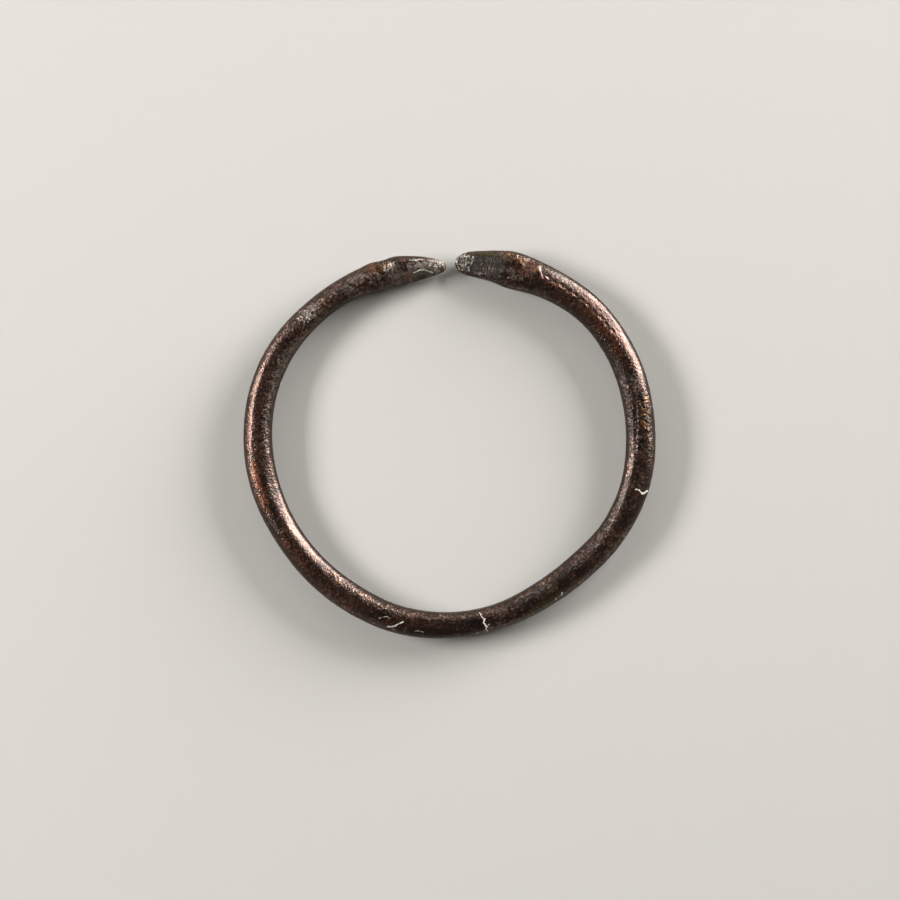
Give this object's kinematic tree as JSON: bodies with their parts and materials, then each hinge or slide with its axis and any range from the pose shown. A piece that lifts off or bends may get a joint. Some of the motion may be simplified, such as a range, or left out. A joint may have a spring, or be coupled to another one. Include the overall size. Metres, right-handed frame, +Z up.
{
  "type": "open bracelet",
  "caption": "Open wrist bracelet forged from one round copper bar, its flattened ends shaped as snake heads that nearly meet.",
  "frame": {"origin": "on the surface that the bracelet lies on, below the middle of its outline", "axes": "+Z up, out of the plane of the hoop; +Y towards the gap between the two heads; +X towards the broad head"},
  "size_m": [0.0648, 0.061, 0.0044],
  "materials": {
    "copper": "forged and filed copper under a dark brown patina, rubbed to bare coppery metal on the crown"
  },
  "bodies": {
    "root": {"bracelet": "copper"}
  },
  "joints": []
}
